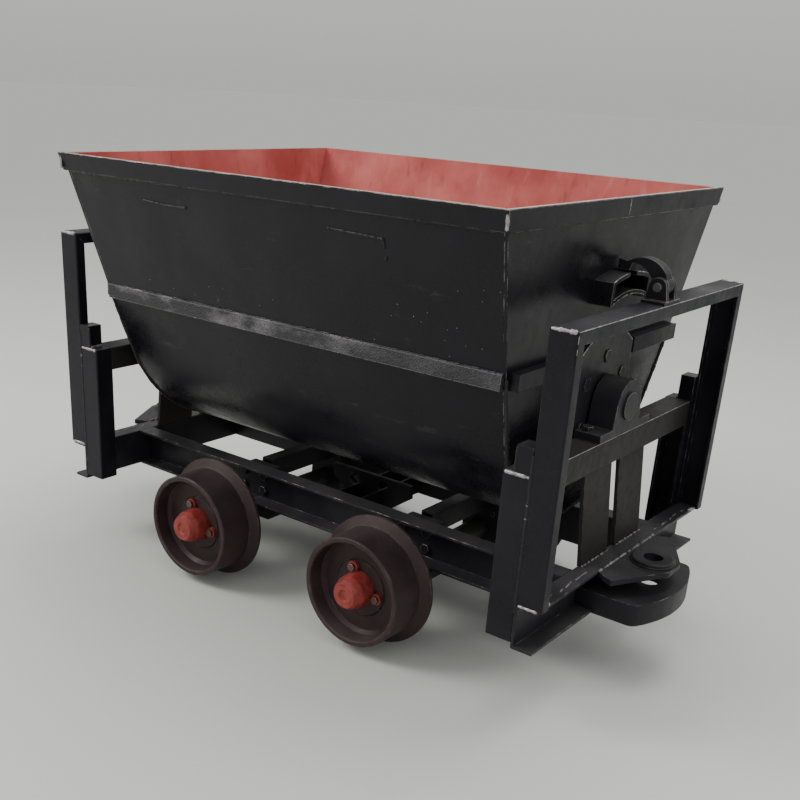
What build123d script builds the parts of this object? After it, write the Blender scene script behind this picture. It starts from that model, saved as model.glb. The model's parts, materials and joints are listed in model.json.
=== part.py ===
from build123d import *
import math
import os

# Side-tipping mine cart on four flanged wheels. Millimetres, +Z up.
# X runs along the track and +X is the front, Y runs across it and -Y is the right-hand side.
# The origin is below the middle of the cart, on the plane that the wheel flanges touch.

os.makedirs("parts", exist_ok=True)

# ---- driving dimensions ---------------------------------------------------------------
# wheels and track
wheelbase = 600.0
rail_gauge = 762.0
tread_diameter = 300.0
flange_depth = 25.0          # how far the flange stands below the tread
flange_thickness = 27.0
rail_play = 6.0              # from each flange to the rail head beside it
tread_width = 99.0
tread_taper = 2.0            # drop of the tread radius from flange to front

# bucket
rim_length = 1400.0          # over the rim bands
rim_width = 1106.0
rim_height = 1163.0
band_height = 45.0
band_thickness = 8.0
knee_height = 800.0
knee_width = 860.0
knee_length = 1324.0         # over the end plates at knee height
bottom_radius = 385.0
bottom_height = 358.0
sheet = 8.0
rib_height = 40.0
rib_stand_off = 9.0          # the side rib stands this far out at the knee
end_rib_inner = 155.0
end_rib_stand_off = 24.0

# frame
channel_height = 110.0
channel_flange = 57.0
channel_wall = 7.0
frame_bottom = 194.0
beam_spread = 494.0          # over the flange tips of the two long beams
cross_member_width = 45.0
cross_member_height = 60.0
bracket_length = 290.0
bracket_thickness = 12.0
bracket_hole = 40.0

# end portals, inner posts and shelf
bucket_end_gap = 65.0        # from the rim band to the back of the portal
portal_width = 922.0
portal_height = 938.0
portal_channel = 68.0
portal_flange = 30.0
inner_channel = 70.0
inner_flange = 57.0
inner_foot = 15.0            # the inner posts end this far above the frame's underside
shelf_height = 612.0
shelf_drop = 66.0
stop_height = 66.0
stop_length = 40.0            # along the track, back from the portal
stop_width = 45.0
leg_width = 143.0
leg_slot = 45.0
leg_thickness = 10.0

# coupling plate and bumper
plate_thickness = 14.0
pin_hole = 50.0
pin_reach = 70.0             # pin centre ahead of the cross beam's flange tips
boss_diameter = 108.0
boss_height = 11.0
bumper_reach = 152.0         # bumper nose ahead of the flange tips
bumper_width = 330.0
bumper_radius = 323.0
bumper_corner = 26.0
bumper_height = 56.0
bumper_wall = 14.0
bumper_plate = 12.0          # plate with the pin hole, closing the bumper's top

# axles
axle_diameter = 60.0
collar_diameter = 72.0
inner_journal = 55.0
outer_journal = 45.0
thread_diameter = 36.0
inner_bearing_diameter = 100.0
outer_bearing_diameter = 85.0
inner_bearing_width = 25.0
outer_bearing_width = 24.0
nut_flats = 50.0
nut_height = 18.0
seat_length = 120.0
seat_width = 50.0
seat_height = 160.0
seat_drop = 45.0             # seat block below the axle centre
seat_bolt = 16.0
seat_bolt_pitch_x = 80.0
seat_bolt_pitch_z = 44.0

# hub caps
cap_flange = 10.0
cap_radius = 48.0
cap_nose_radius = 33.0
cap_length = 66.0
cap_wall = 7.0
cap_bolt = 12.0
cap_bolt_radius = 60.0       # from the wheel axis to each bolt
cap_bolt_count = 3

# trunnions
axis_height = 680.0
trunnion_diameter = 70.0
trunnion_disc = 300.0
dome_width = 270.0
dome_top = 857.0
dome_radius = 219.0
block_hub = 132.0
block_foot = 270.0
block_foot_height = 20.0
block_gap = 6.0              # from the trunnion plate to the bearing block
trunnion_bolt = 20.0
trunnion_bolt_radius = 110.0 # from the tipping axis to each bolt
trunnion_bolt_count = 6
foot_bolt = 16.0
foot_bolt_pitch = 224.0

# latch
latch_pin = 20.0
latch_pivot_height = 37.0    # above the portal's top face
latch_pivot_inset = 35.0     # from the portal's back face
hook_width = 30.0
lug_gap = 1.0
lug_thickness = 12.0
lug_base = 8.0
keeper_radius = 318.0        # about the tipping axis
keeper_depth = 53.0
keeper_width = 200.0
keeper_reach = 36.0
keeper_plate = 10.0
keeper_notch = 38.0
nose_clearance = 3.0

# clearances
running_gap = 0.05           # radial, between a shaft and what turns on it
face_gap = 1.0
notch_gap = 1.0              # radial, where the axle passes a beam

# ---- derived positions ----------------------------------------------------------------
tread_radius = tread_diameter / 2
flange_radius = tread_radius + flange_depth
wheel_z = flange_radius
wheel_x = wheelbase / 2
flange_front_y = rail_gauge / 2 - rail_play
wheel_back_y = flange_front_y - flange_thickness
wheel_front_y = flange_front_y + tread_width
hub_front_y = wheel_front_y - 44.0

frame_top = frame_bottom + channel_height
frame_half = rim_length / 2 + bucket_end_gap
flange_tip_x = frame_half + channel_flange - 2.0
beam_tip_y = beam_spread / 2
beam_web_y = beam_tip_y - channel_flange
portal_y = portal_width / 2
inner_back_x = frame_half - inner_channel
inner_tip_y = portal_y - inner_flange

plate_half_rim = rim_length / 2 - band_thickness
end_slope = (plate_half_rim - knee_length / 2) / (rim_height - knee_height)
wall_half_rim = rim_width / 2 - band_thickness
bottom_centre = bottom_height + bottom_radius
trunnion_face_x = inner_back_x - 5.0
block_back_x = trunnion_face_x + block_gap
foot_bolt_x = inner_back_x + channel_wall + foot_bolt

ends = {"front": 1, "rear": -1}
sides = {"right": -1, "left": 1}


def end_plane(end, inset):
    """Plane of an end plate, moved in by inset, with its normal pointing outwards."""
    normal = Vector(end, 0, -end_slope).normalized()
    origin = Vector(end * plate_half_rim, 0, rim_height) - normal * inset
    return Plane(origin=origin, x_dir=(0, 1, 0), z_dir=normal)


def plate_x(z):
    """Outer face of an end plate at height z, measured from the middle."""
    return plate_half_rim - (rim_height - z) * end_slope


def end_face(end, x, z):
    """Upright plane across the track at x from the middle, facing outwards, its y axis up."""
    return Plane(origin=(end * x, 0, z), x_dir=(0, end, 0), z_dir=(end, 0, 0))


def bucket_section(inset, start_x):
    """Cross section of the bucket, moved in by inset, as a face across the track at start_x."""
    radius = bottom_radius - inset
    knee_y = knee_width / 2
    rise = knee_height - bottom_centre
    turn = math.acos(bottom_radius / math.hypot(knee_y, rise)) - math.atan2(rise, knee_y)
    lower = Vector(math.sin(turn), math.cos(turn))
    tangent = Vector(radius * math.cos(turn), bottom_centre - radius * math.sin(turn))
    upper = Vector(wall_half_rim - knee_y, rim_height - knee_height).normalized()
    upper_start = Vector(knee_y, knee_height) + Vector(-upper.Y, upper.X) * inset
    gap = upper_start - tangent
    along = (gap.X * upper.Y - gap.Y * upper.X) / (lower.X * upper.Y - lower.Y * upper.X)
    knee = tangent + lower * along
    top_y = upper_start.X + (rim_height - upper_start.Y) * upper.X / upper.Y
    right = [(-top_y, rim_height), (-knee.X, knee.Y), (-tangent.X, tangent.Y)]
    left = [(tangent.X, tangent.Y), (knee.X, knee.Y), (top_y, rim_height)]
    with BuildSketch(Plane.YZ.offset(start_x)) as section:
        with BuildLine():
            Polyline(*right)
            ThreePointArc(right[-1], (0, bottom_centre - radius), left[0])
            Polyline(*left)
            Line(left[-1], right[0])
        make_face()
    return section.sketch


def wall_y(z, inset=0.0):
    """Outer face of the bucket's side wall at height z, above the round bottom."""
    knee_y = knee_width / 2
    if z >= knee_height:
        return knee_y + (z - knee_height) * (wall_half_rim - knee_y) / (rim_height - knee_height) - inset
    rise = knee_height - bottom_centre
    turn = math.acos(bottom_radius / math.hypot(knee_y, rise)) - math.atan2(rise, knee_y)
    return knee_y - (knee_height - z) * math.tan(turn) - inset


def channel(plane, depth, flange, wall):
    """Channel section: its web lies along the plane's x axis, its flanges point along +y."""
    root = wall * 0.6
    with BuildSketch(plane) as section:
        with BuildLine():
            Polyline(
                (-depth / 2, 0), (depth / 2, 0), (depth / 2, flange), (depth / 2 - wall, flange),
                (depth / 2 - wall, wall), (wall - depth / 2, wall), (wall - depth / 2, flange),
                (-depth / 2, flange), (-depth / 2, 0),
            )
        make_face()
        fillet(section.vertices().group_by(Axis.Y)[0], radius=root)
    return section.sketch


# ---- bucket ---------------------------------------------------------------------------
long_start = -rim_length

with BuildPart() as bucket_body:
    extrude(bucket_section(0, long_start), amount=2 * rim_length)
    extrude(bucket_section(sheet, long_start), amount=2 * rim_length, mode=Mode.SUBTRACT)
    for end in ends.values():
        split(bisect_by=end_plane(end, sheet), keep=Keep.BOTTOM)
bucket_body.part.label = "bucket_body"
export_step(bucket_body.part, "parts/bucket_body.step")

for end_name, end in ends.items():
    with BuildPart() as bucket_end:
        extrude(bucket_section(0, long_start), amount=2 * rim_length)
        split(bisect_by=end_plane(end, sheet), keep=Keep.TOP)
        split(bisect_by=end_plane(end, 0), keep=Keep.BOTTOM)
    bucket_end.part.label = f"bucket_end_{end_name}"
    export_step(bucket_end.part, f"parts/bucket_end_{end_name}.step")


def bucket_block(inset):
    """Solid block filling the bucket's outside shape, moved in by inset."""
    with BuildPart(mode=Mode.PRIVATE) as block:
        extrude(bucket_section(inset, long_start), amount=2 * rim_length)
        for end in ends.values():
            split(bisect_by=end_plane(end, inset), keep=Keep.BOTTOM)
    return block.part


with BuildPart() as rim_band:
    add(bucket_block(-band_thickness))
    add(bucket_block(0), mode=Mode.SUBTRACT)
    split(bisect_by=Plane.XY.offset(rim_height - band_height), keep=Keep.TOP)
rim_band.part.label = "rim_band"
export_step(rim_band.part, "parts/rim_band.step")

# flat bars along the knee, standing proud of the wall at their lower edge
rib_top = knee_height + 13.0
rib_low = rib_top - rib_height
rib_face = knee_width / 2 + rib_stand_off
with BuildPart() as side_ribs:
    with BuildSketch(Plane.YZ.offset(-knee_length)) as rib_section:
        for side in sides.values():
            with BuildLine():
                Polyline(
                    (side * wall_y(rib_top), rib_top), (side * rib_face, rib_top - 3),
                    (side * rib_face, rib_low), (side * wall_y(rib_low), rib_low),
                    (side * wall_y(knee_height), knee_height), (side * wall_y(rib_top), rib_top),
                )
            make_face()
    extrude(amount=2 * knee_length)
    for end in ends.values():
        split(bisect_by=end_plane(end, sheet), keep=Keep.BOTTOM)
side_ribs.part.label = "side_ribs"
export_step(side_ribs.part, "parts/side_ribs.step")

# short bars on the end plates, in line with the side ribs
end_rib_x = knee_length / 2 + end_rib_stand_off
end_rib_outer = wall_y(rib_low) - 4.0
with BuildPart() as end_ribs:
    for end in ends.values():
        for start_y in (end_rib_inner, -end_rib_outer):
            with BuildSketch(Plane.XZ.offset(-start_y)):
                with BuildLine():
                    Polyline(
                        (end * plate_x(rib_low), rib_low), (end * end_rib_x, rib_low),
                        (end * end_rib_x, rib_top), (end * plate_x(rib_top), rib_top),
                        (end * plate_x(rib_low), rib_low),
                    )
                make_face()
            extrude(amount=end_rib_inner - end_rib_outer)
end_ribs.part.label = "end_ribs"
export_step(end_ribs.part, "parts/end_ribs.step")

# ---- trunnion plates, bolted on the end plates ------------------------------------------
bolt_turns = [math.pi / 6 + math.tau / trunnion_bolt_count * index for index in range(trunnion_bolt_count)]
bolt_ring = [
    (trunnion_bolt_radius * math.cos(turn), trunnion_bolt_radius * math.sin(turn))
    for turn in bolt_turns
]
trunnion_end_x = frame_half + 6.0
for end_name, end in ends.items():
    across = end_face(end, 0, axis_height)
    with BuildPart() as trunnion_plate:
        with BuildSketch(across):
            Circle(trunnion_disc / 2)
            with BuildLine():
                shoulder = dome_top - axis_height - dome_radius
                shoulder += math.sqrt(dome_radius ** 2 - (dome_width / 2) ** 2)
                Polyline((-dome_width / 2, shoulder), (-dome_width / 2, 0), (dome_width / 2, 0),
                         (dome_width / 2, shoulder))
                ThreePointArc((dome_width / 2, shoulder), (0, dome_top - axis_height),
                              (-dome_width / 2, shoulder))
            make_face()
        extrude(amount=trunnion_face_x)
        split(bisect_by=end_plane(end, 0), keep=Keep.TOP)
        with BuildSketch(across.offset(trunnion_face_x)):
            Circle(trunnion_diameter / 2)
        extrude(amount=trunnion_end_x - trunnion_face_x)
        with BuildSketch(across.offset(trunnion_face_x)):
            with Locations(*bolt_ring):
                Circle(trunnion_bolt / 2)
        extrude(amount=-rim_length / 4, mode=Mode.SUBTRACT)
    trunnion_plate.part.label = f"trunnion_plate_{end_name}"
    export_step(trunnion_plate.part, f"parts/trunnion_plate_{end_name}.step")


def bolts_through_plate(end):
    """The ring of bolts of one end, heads on the trunnion plate and shanks down to the end plate."""
    face = end_face(end, trunnion_face_x, axis_height)
    with BuildPart(mode=Mode.PRIVATE) as ring:
        with BuildSketch(face):
            with Locations(*bolt_ring):
                RegularPolygon(radius=0.75 * trunnion_bolt, side_count=6, major_radius=False)
        extrude(amount=block_gap - 2 * face_gap)
        with BuildSketch(face):
            with Locations(*bolt_ring):
                Circle(trunnion_bolt / 2)
        extrude(amount=-rim_length / 4)
        split(bisect_by=end_plane(end, 0), keep=Keep.TOP)
    return ring.part


with BuildPart() as trunnion_bolts:
    for end in ends.values():
        add(bolts_through_plate(end))
trunnion_bolts.part.label = "trunnion_bolts"
export_step(trunnion_bolts.part, "parts/trunnion_bolts.step")

# ---- latch keepers on the end plates ------------------------------------------------------
keeper_front_x = trunnion_face_x + keeper_reach

def keeper_box(end):
    """Box welded on an end plate, curved about the tipping axis, with a notch in its top."""
    across = end_face(end, 0, axis_height)
    with BuildPart(mode=Mode.PRIVATE) as box:
        with BuildSketch(across):
            Circle(keeper_radius)
            Circle(keeper_radius - keeper_depth, mode=Mode.SUBTRACT)
            with Locations((0, keeper_radius)):
                Rectangle(keeper_width, 4 * keeper_depth, mode=Mode.INTERSECT)
        extrude(amount=keeper_front_x)
        with BuildSketch(across):
            Circle(keeper_radius - keeper_plate)
            Circle(keeper_radius - keeper_depth + keeper_plate, mode=Mode.SUBTRACT)
            with Locations((0, keeper_radius)):
                Rectangle(keeper_width - 2 * keeper_plate, 4 * keeper_depth, mode=Mode.INTERSECT)
        extrude(amount=keeper_front_x, mode=Mode.SUBTRACT)
        with BuildSketch(across):
            with Locations((0, keeper_radius)):
                Rectangle(keeper_notch, 2.4 * keeper_plate)
        extrude(amount=keeper_front_x, mode=Mode.SUBTRACT)
        split(bisect_by=end_plane(end, 0), keep=Keep.TOP)
    return box.part


with BuildPart() as latch_keepers:
    for end in ends.values():
        add(keeper_box(end))
latch_keepers.part.label = "latch_keepers"
export_step(latch_keepers.part, "parts/latch_keepers.step")

# ---- long beams, channels with their flanges outwards ---------------------------------------
frame_middle = frame_bottom + channel_height / 2
bolt_spots = [(x, frame_middle + dz) for x in (-seat_bolt_pitch_x / 2, seat_bolt_pitch_x / 2)
              for dz in (-seat_bolt_pitch_z / 2, seat_bolt_pitch_z / 2)]
for side_name, side in sides.items():
    run = Plane(origin=(-frame_half, side * beam_web_y, frame_middle), x_dir=(0, 0, -side), z_dir=(1, 0, 0))
    with BuildPart() as long_beam:
        extrude(channel(run, channel_height, channel_flange, channel_wall), amount=2 * frame_half)
        for x in (-wheel_x, wheel_x):
            with BuildSketch(Plane(origin=(x, 0, 0), x_dir=(side, 0, 0), z_dir=(0, -side, 0))):
                with Locations((0, wheel_z)):
                    Circle(axle_diameter / 2 + notch_gap)
                with Locations(*bolt_spots):
                    Circle(seat_bolt / 2)
            extrude(amount=-beam_tip_y, mode=Mode.SUBTRACT)
    long_beam.part.label = f"long_beam_{side_name}"
    export_step(long_beam.part, f"parts/long_beam_{side_name}.step")

# ---- cross beams, channels with their flanges towards the bumpers ---------------------------
for end_name, end in ends.items():
    run = Plane(origin=(end * frame_half, -portal_y, frame_middle), x_dir=(0, 0, end), z_dir=(0, 1, 0))
    with BuildPart() as cross_beam:
        extrude(channel(run, channel_height, flange_tip_x - frame_half, channel_wall), amount=portal_width)
    cross_beam.part.label = f"cross_beam_{end_name}"
    export_step(cross_beam.part, f"parts/cross_beam_{end_name}.step")

# ---- members between the long beams ----------------------------------------------------------
seat_inner_y = beam_web_y - seat_width
with BuildPart() as axle_members:
    for x in (-wheel_x, wheel_x):
        run = Plane(origin=(x, -seat_inner_y, frame_top), x_dir=(1, 0, 0), z_dir=(0, 1, 0))
        extrude(channel(run, cross_member_width, cross_member_height, channel_wall),
                amount=2 * seat_inner_y)
axle_members.part.label = "axle_members"
export_step(axle_members.part, "parts/axle_members.step")

bracket_top = frame_top - 6.0
bracket_z = frame_bottom + channel_height * 0.66
with BuildPart() as centre_bracket:
    with BuildSketch(Plane.XY.offset(frame_bottom + channel_wall)):
        Rectangle(cross_member_width * 2, 2 * beam_web_y)
    extrude(amount=channel_wall)
    for x in (-cross_member_width + channel_wall / 2, cross_member_width - channel_wall / 2):
        with BuildSketch(Plane.XY.offset(frame_bottom + channel_wall)):
            with Locations((x, 0)):
                Rectangle(channel_wall, 2 * beam_web_y)
        extrude(amount=cross_member_height)
    with BuildSketch(Plane.XZ.offset(-bracket_thickness / 2)):
        with BuildLine():
            half = bracket_length / 2
            low = frame_bottom + channel_wall
            Polyline((-half, bracket_top), (half, bracket_top), (half, bracket_top - 40),
                     (half * 0.45, low), (-half * 0.45, low), (-half, bracket_top - 40), (-half, bracket_top))
        make_face()
        with Locations((bracket_hole, bracket_z), (-bracket_hole * 1.7, bracket_z)):
            Circle(bracket_hole / 2, mode=Mode.SUBTRACT)
    extrude(amount=bracket_thickness)
centre_bracket.part.label = "centre_bracket"
export_step(centre_bracket.part, "parts/centre_bracket.step")

# ---- end portals ------------------------------------------------------------------------------
portal_mid_x = frame_half + portal_channel / 2
for end_name, end in ends.items():
    for side_name, side in sides.items():
        run = Plane(origin=(end * portal_mid_x, side * portal_y, frame_top),
                    x_dir=(-side, 0, 0), z_dir=(0, 0, 1))
        mitre = Plane(origin=(0, side * portal_y, portal_height), x_dir=(1, 0, 0), z_dir=(0, -side, 1))
        with BuildPart() as portal_post:
            extrude(channel(run, portal_channel, portal_flange, channel_wall),
                    amount=portal_height - frame_top)
            split(bisect_by=mitre, keep=Keep.BOTTOM)
        portal_post.part.label = f"portal_post_{end_name}_{side_name}"
        export_step(portal_post.part, f"parts/portal_post_{end_name}_{side_name}.step")
    run = Plane(origin=(end * portal_mid_x, -portal_y, portal_height), x_dir=(1, 0, 0), z_dir=(0, 1, 0))
    with BuildPart() as portal_top:
        extrude(channel(run, portal_channel, portal_flange, channel_wall), amount=portal_width)
        for side in sides.values():
            mitre = Plane(origin=(0, side * portal_y, portal_height), x_dir=(1, 0, 0), z_dir=(0, -side, 1))
            split(bisect_by=mitre, keep=Keep.TOP)
    portal_top.part.label = f"portal_top_{end_name}"
    export_step(portal_top.part, f"parts/portal_top_{end_name}.step")

# ---- inner posts, stop blocks, shelf and legs behind each portal ------------------------------
inner_mid_x = frame_half - inner_channel / 2
for end_name, end in ends.items():
    for side_name, side in sides.items():
        foot = Plane(origin=(end * inner_mid_x, side * portal_y, frame_bottom + inner_foot),
                     x_dir=(-side, 0, 0), z_dir=(0, 0, 1))
        with BuildPart() as inner_post:
            extrude(channel(foot, inner_channel, inner_flange, channel_wall),
                    amount=shelf_height - frame_bottom - inner_foot)
            with BuildSketch(Plane.XY.offset(shelf_height - channel_wall)):
                with Locations((end * inner_mid_x, side * (portal_y - inner_flange / 2))):
                    Rectangle(inner_channel - channel_wall, inner_flange - channel_wall)
            extrude(amount=channel_wall)
        inner_post.part.label = f"inner_post_{end_name}_{side_name}"
        export_step(inner_post.part, f"parts/inner_post_{end_name}_{side_name}.step")

with BuildPart() as stop_blocks:
    with BuildSketch(Plane.XY.offset(shelf_height)):
        with GridLocations(2 * frame_half - stop_length, portal_width - stop_width, 2, 2):
            Rectangle(stop_length, stop_width)
    extrude(amount=stop_height)
stop_blocks.part.label = "stop_blocks"
export_step(stop_blocks.part, "parts/stop_blocks.step")

for end_name, end in ends.items():
    run = Plane(origin=(end * inner_mid_x, -inner_tip_y, shelf_height), x_dir=(1, 0, 0), z_dir=(0, 1, 0))
    with BuildPart() as shelf:
        extrude(channel(run, inner_channel, shelf_drop, channel_wall), amount=2 * inner_tip_y)
        with BuildSketch(Plane.XY.offset(shelf_height)):
            with GridLocations(0, foot_bolt_pitch, 1, 2):
                with Locations((end * foot_bolt_x, 0)):
                    Circle(foot_bolt / 2)
        extrude(amount=-channel_wall, mode=Mode.SUBTRACT)
    shelf.part.label = f"shelf_{end_name}"
    export_step(shelf.part, f"parts/shelf_{end_name}.step")

leg_top_x = frame_half - channel_wall - leg_thickness - 2.0
leg_foot_x = frame_half + channel_wall + 3.0
leg_offset = (leg_width + leg_slot) / 2
with BuildPart() as legs:
    for end in ends.values():
        for side in sides.values():
            with BuildSketch(Plane.XZ.offset(side * leg_offset - leg_width / 2)):
                with BuildLine():
                    Polyline(
                        (end * leg_top_x, shelf_height - channel_wall), (end * leg_foot_x, frame_top),
                        (end * (leg_foot_x - leg_thickness), frame_top),
                        (end * (leg_top_x - leg_thickness), shelf_height - channel_wall),
                        (end * leg_top_x, shelf_height - channel_wall),
                    )
                make_face()
            extrude(amount=leg_width)
legs.part.label = "shelf_legs"
export_step(legs.part, "parts/shelf_legs.step")

# ---- coupling plates and bumpers ---------------------------------------------------------------
pin_x = flange_tip_x + pin_reach
for end_name, end in ends.items():
    with BuildPart() as coupling_plate:
        with BuildSketch(Plane.XY.offset(frame_top - plate_thickness)):
            with BuildLine():
                Polyline(
                    (end * flange_tip_x, -158), (end * (flange_tip_x + 46), -184), (end * (pin_x + 60), -34),
                    (end * (pin_x + 60), 34), (end * (flange_tip_x + 46), 184), (end * flange_tip_x, 158),
                    (end * flange_tip_x, -158),
                )
            make_face()
        extrude(amount=plate_thickness)
        nose = coupling_plate.edges().filter_by(Axis.Z).sort_by(Axis.X, reverse=end > 0)[0:2]
        fillet(nose, radius=24)
        with BuildSketch(Plane.XY.offset(frame_top)):
            with Locations((end * pin_x, 0)):
                Circle(boss_diameter / 2)
        extrude(amount=boss_height)
        fillet(coupling_plate.faces().sort_by(Axis.Z)[-1].edges(), radius=6)
        with BuildSketch(Plane.XY.offset(frame_top - plate_thickness)):
            with Locations((end * pin_x, 0)):
                Circle(pin_hole / 2)
        extrude(amount=plate_thickness + boss_height, mode=Mode.SUBTRACT)
    coupling_plate.part.label = f"coupling_plate_{end_name}"
    export_step(coupling_plate.part, f"parts/coupling_plate_{end_name}.step")


def bumper_outline(end, inset):
    """Outline of the bumper from above, moved in by inset, open towards the cross beam."""
    half = bumper_width / 2 - inset
    radius = bumper_radius - inset
    nose_x = flange_tip_x + bumper_reach - inset
    side_x = nose_x - radius + math.sqrt(radius ** 2 - half ** 2)
    root_x = frame_half + channel_wall
    with BuildSketch(Plane.XY.offset(frame_bottom)) as outline:
        with BuildLine():
            Polyline((end * side_x, -half), (end * root_x, -half),
                     (end * root_x, half), (end * side_x, half))
            ThreePointArc((end * side_x, -half), (end * nose_x, 0), (end * side_x, half))
        make_face()
        corners = outline.vertices().sort_by(Axis.X, reverse=end > 0)[0:2]
        fillet(corners, radius=bumper_corner - inset)
    return outline.sketch


for end_name, end in ends.items():
    with BuildPart() as bumper:
        extrude(bumper_outline(end, 0), amount=bumper_height)
        extrude(bumper_outline(end, bumper_wall), amount=bumper_height - bumper_plate, mode=Mode.SUBTRACT)
        with BuildSketch(Plane.XY.offset(frame_bottom)):
            with Locations((end * pin_x, 0)):
                Circle(pin_hole / 2)
        extrude(amount=bumper_height, mode=Mode.SUBTRACT)
        with BuildSketch(Plane.XY.offset(frame_bottom)):
            with Locations((end * (frame_half + flange_tip_x) / 2, 0)):
                Rectangle(flange_tip_x - frame_half, bumper_width)
        extrude(amount=channel_wall, mode=Mode.SUBTRACT)
    bumper.part.label = f"bumper_{end_name}"
    export_step(bumper.part, f"parts/bumper_{end_name}.step")

# ---- axles, their seat blocks, bearings and nuts ------------------------------------------------
collar_start = beam_tip_y + 20.0
inner_seat_start = wheel_back_y + 3.0
outer_seat_end = hub_front_y - 2.0
outer_seat_start = outer_seat_end - outer_bearing_width
thread_end = outer_seat_end + nut_height + 8.0
for end_name, end in ends.items():
    with BuildPart() as axle:
        with BuildSketch(Plane.YZ.offset(end * wheel_x)):
            with BuildLine():
                profile = [
                    (0, 0), (0, axle_diameter / 2), (collar_start, axle_diameter / 2),
                    (collar_start, collar_diameter / 2), (inner_seat_start, collar_diameter / 2),
                    (inner_seat_start, inner_journal / 2),
                    (inner_seat_start + inner_bearing_width + 2, inner_journal / 2),
                    (inner_seat_start + inner_bearing_width + 2, outer_journal / 2),
                    (outer_seat_end, outer_journal / 2), (outer_seat_end, thread_diameter / 2),
                    (thread_end - 3, thread_diameter / 2),
                    (thread_end, thread_diameter / 2 - 3), (thread_end, 0),
                    (0, 0),
                ]
                Polyline(*[(y, wheel_z + r) for y, r in profile])
            make_face()
        revolve(axis=Axis((end * wheel_x, 0, wheel_z), (0, 1, 0)))
        mirror(about=Plane.XZ)
    axle.part.label = f"axle_{end_name}"
    export_step(axle.part, f"parts/axle_{end_name}.step")

with BuildPart() as axle_seats:
    for x in (-wheel_x, wheel_x):
        for side in sides.values():
            with BuildSketch(Plane(origin=(x, side * beam_web_y, 0),
                                   x_dir=(side, 0, 0), z_dir=(0, -side, 0))):
                with Locations((0, wheel_z - seat_drop + seat_height / 2)):
                    RectangleRounded(seat_length, seat_height, 12)
                with Locations((0, wheel_z)):
                    Circle(axle_diameter / 2, mode=Mode.SUBTRACT)
                with Locations(*bolt_spots):
                    Circle(seat_bolt / 2, mode=Mode.SUBTRACT)
            extrude(amount=seat_width)
axle_seats.part.label = "axle_seats"
export_step(axle_seats.part, "parts/axle_seats.step")

with BuildPart() as seat_bolts:
    for x in (-wheel_x, wheel_x):
        for side in sides.values():
            head_y = side * (beam_web_y + channel_wall)
            face = Plane(origin=(x, head_y, 0), x_dir=(-side, 0, 0), z_dir=(0, side, 0))
            with BuildSketch(face):
                with Locations(*bolt_spots):
                    RegularPolygon(radius=0.75 * seat_bolt, side_count=6, major_radius=False)
            extrude(amount=0.62 * seat_bolt)
            with BuildSketch(face):
                with Locations(*bolt_spots):
                    Circle(seat_bolt / 2)
            extrude(amount=-(channel_wall + seat_width))
seat_bolts.part.label = "seat_bolts"
export_step(seat_bolts.part, "parts/seat_bolts.step")

bearings = {
    "inner_bearings": (inner_seat_start, inner_bearing_width, inner_journal, inner_bearing_diameter),
    "outer_bearings": (outer_seat_start, outer_bearing_width, outer_journal, outer_bearing_diameter),
}
for node, (start, width, bore, outside) in bearings.items():
    with BuildPart() as bearing:
        for x in (-wheel_x, wheel_x):
            for side in sides.values():
                with BuildSketch(Plane(origin=(x, side * start, wheel_z),
                                       x_dir=(1, 0, 0), z_dir=(0, side, 0))):
                    Circle(outside / 2 - running_gap)
                    Circle(bore / 2, mode=Mode.SUBTRACT)
                extrude(amount=width)
    bearing.part.label = node
    export_step(bearing.part, f"parts/{node}.step")

with BuildPart() as axle_nuts:
    for x in (-wheel_x, wheel_x):
        for side in sides.values():
            with BuildSketch(Plane(origin=(x, side * outer_seat_end, wheel_z),
                                   x_dir=(1, 0, 0), z_dir=(0, side, 0))):
                RegularPolygon(radius=nut_flats / 2, side_count=6, major_radius=False)
                Circle(thread_diameter / 2, mode=Mode.SUBTRACT)
            extrude(amount=nut_height)
axle_nuts.part.label = "axle_nuts"
export_step(axle_nuts.part, "parts/axle_nuts.step")

# ---- wheels and hub caps --------------------------------------------------------------------------
hub_radius = cap_bolt_radius + cap_bolt / 2 + 9.0
lobe_spots = [
    (cap_bolt_radius * math.cos(turn), cap_bolt_radius * math.sin(turn))
    for turn in (math.radians(110 + 360 / cap_bolt_count * index) for index in range(cap_bolt_count))
]
rim_wall = 17.0
web_wall = 20.0
web_front_y = hub_front_y - 5.0
seat_step = inner_seat_start + inner_bearing_width + 1.0
wheel_profile = [
    (wheel_back_y, hub_radius + 9), (web_front_y - web_wall, hub_radius + 14),
    (web_front_y - web_wall, tread_radius - rim_wall - 14),
    (web_front_y - web_wall - 8, tread_radius - rim_wall - 5),
    (wheel_back_y, tread_radius - rim_wall), (wheel_back_y, flange_radius - 5),
    (wheel_back_y + 4, flange_radius),
    (wheel_back_y + 12, flange_radius), (flange_front_y - 3, tread_radius + 4),
    (flange_front_y, tread_radius),
    (wheel_front_y - 3, tread_radius - tread_taper), (wheel_front_y, tread_radius - tread_taper - 3),
    (wheel_front_y, tread_radius - rim_wall + 3), (wheel_front_y - 3, tread_radius - rim_wall),
    (web_front_y + 10, tread_radius - rim_wall - 5), (web_front_y, tread_radius - rim_wall - 14),
    (web_front_y, hub_radius + 4), (hub_front_y, hub_radius), (hub_front_y, outer_bearing_diameter / 2),
    (outer_seat_start - 1, outer_bearing_diameter / 2),
    (outer_seat_start - 1, outer_bearing_diameter / 2 - 5),
    (seat_step, outer_bearing_diameter / 2 - 5), (seat_step, inner_bearing_diameter / 2),
    (wheel_back_y, inner_bearing_diameter / 2), (wheel_back_y, hub_radius + 9),
]
cap_back_y = hub_front_y
cap_front_y = cap_back_y + cap_length
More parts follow.
